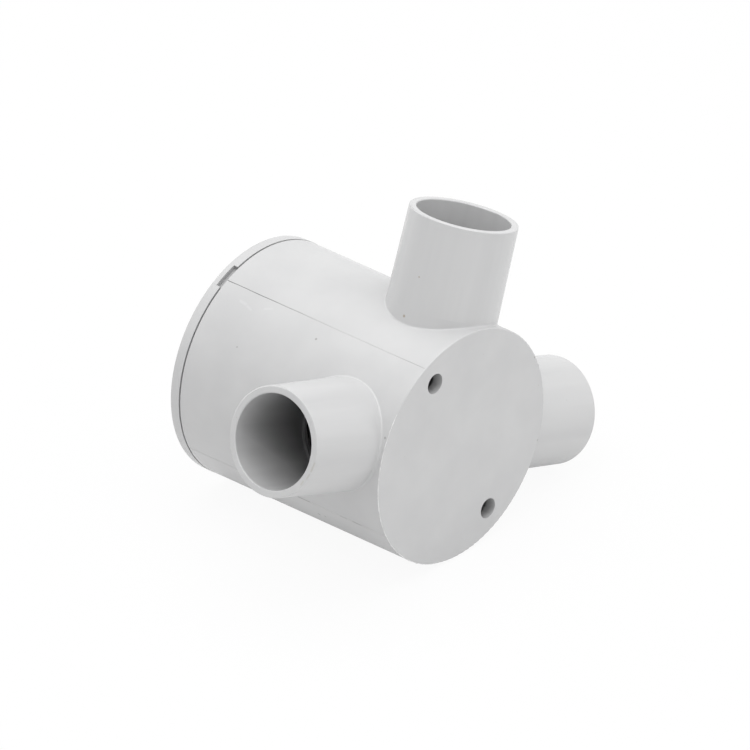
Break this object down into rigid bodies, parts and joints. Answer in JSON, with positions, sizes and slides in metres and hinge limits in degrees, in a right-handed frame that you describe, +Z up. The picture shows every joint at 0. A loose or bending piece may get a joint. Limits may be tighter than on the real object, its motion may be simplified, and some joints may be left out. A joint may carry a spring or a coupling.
{
  "type": "deep junction box",
  "caption": "Deep round plastic conduit junction box with sockets in a tee layout, a screwed lid and fixing holes through its base.",
  "frame": {"origin": "centre of the flat base face, on the box's axis", "axes": "+Z up the box's axis towards the lid, +X out of the right socket, -Y out of the tee socket"},
  "size_m": [0.1158, 0.0907, 0.0748],
  "materials": {
    "grey_plastic": "light grey rigid PVC, satin as moulded",
    "brass": "turned brass",
    "zinc_steel": "bright zinc plated steel"
  },
  "bodies": {
    "box": {"box_body": "grey_plastic", "brass_insert_left": "brass", "brass_insert_right": "brass"},
    "lid": {"lid": "grey_plastic"},
    "screw_left": {"lid_screw_left": "zinc_steel"},
    "screw_right": {"lid_screw_right": "zinc_steel"}
  },
  "joints": [
    {"name": "lid_lift", "type": "slide", "parent": "box", "child": "lid", "axis": [0, 0, 1], "range_m": [0, 0.04]},
    {"name": "screw_left_turn", "type": "hinge", "parent": "lid", "child": "screw_left", "pos_m": [-0.01796, 0.01796, 0.0722], "axis": [0, 0, 1], "continuous": true},
    {"name": "screw_right_turn", "type": "hinge", "parent": "lid", "child": "screw_right", "pos_m": [0.01796, -0.01796, 0.0722], "axis": [0, 0, 1], "continuous": true}
  ]
}
